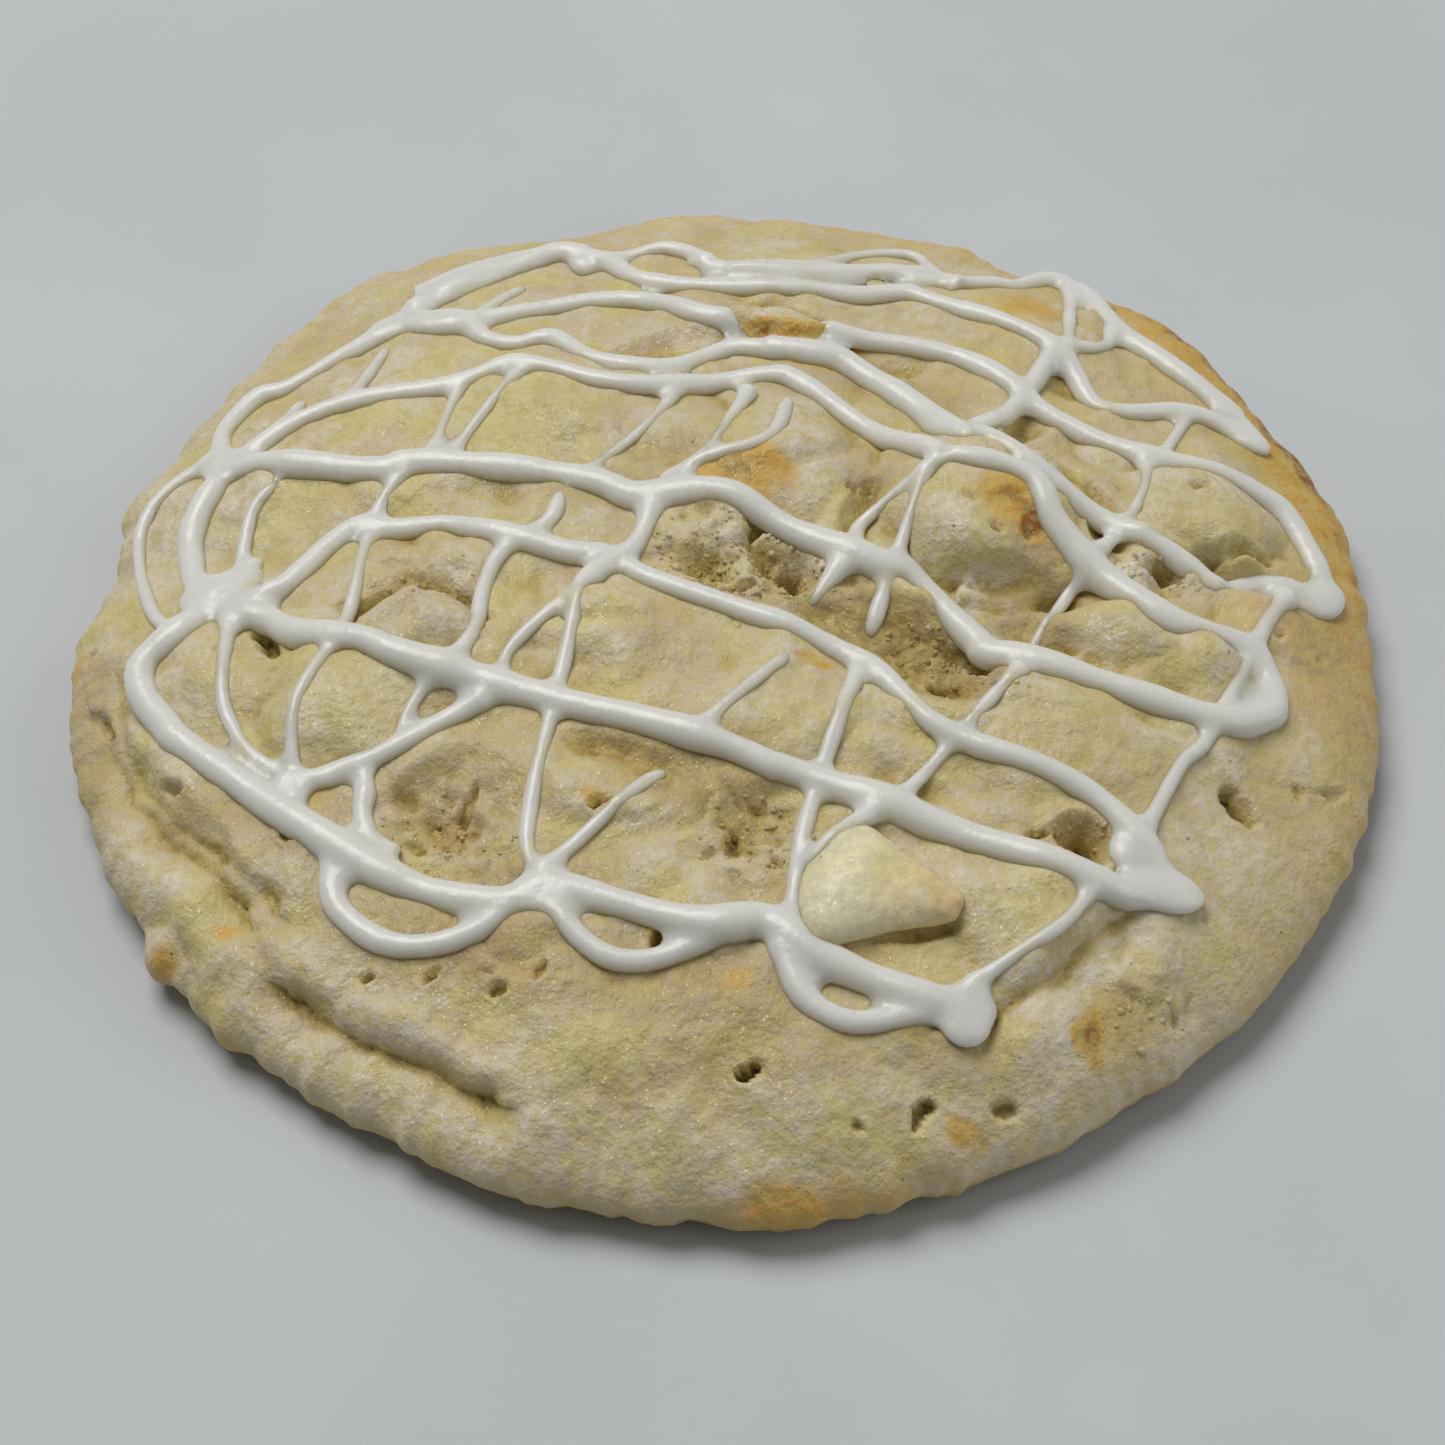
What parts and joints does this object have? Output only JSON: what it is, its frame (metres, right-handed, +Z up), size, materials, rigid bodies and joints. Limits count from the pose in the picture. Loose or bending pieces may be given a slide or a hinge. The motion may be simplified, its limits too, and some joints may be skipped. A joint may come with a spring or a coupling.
{
  "type": "key lime pie cookie",
  "caption": "Round, pale, lumpy baked cookie with a low domed top, a crossing white icing drizzle fused to it, and a white chip set into the dough.",
  "frame": {"origin": "centre of the cookie's box seen from above, on the surface it rests on", "axes": "+Z up through the domed top; +Y away from the eye of the picture, +X to its right"},
  "size_m": [0.093, 0.0946, 0.0163],
  "materials": {
    "baked_dough": "matte, finely granular pale baked dough with glossy white icing strands over it",
    "white_icing": "glossy, slightly translucent set white icing; the visual model's strands use it, the solid has them fused to the dough",
    "white_chip": "satin cream-white chip, toasted at its tip"
  },
  "bodies": {
    "root": {"cookie": "baked_dough", "white_chip": "white_chip"}
  },
  "joints": []
}
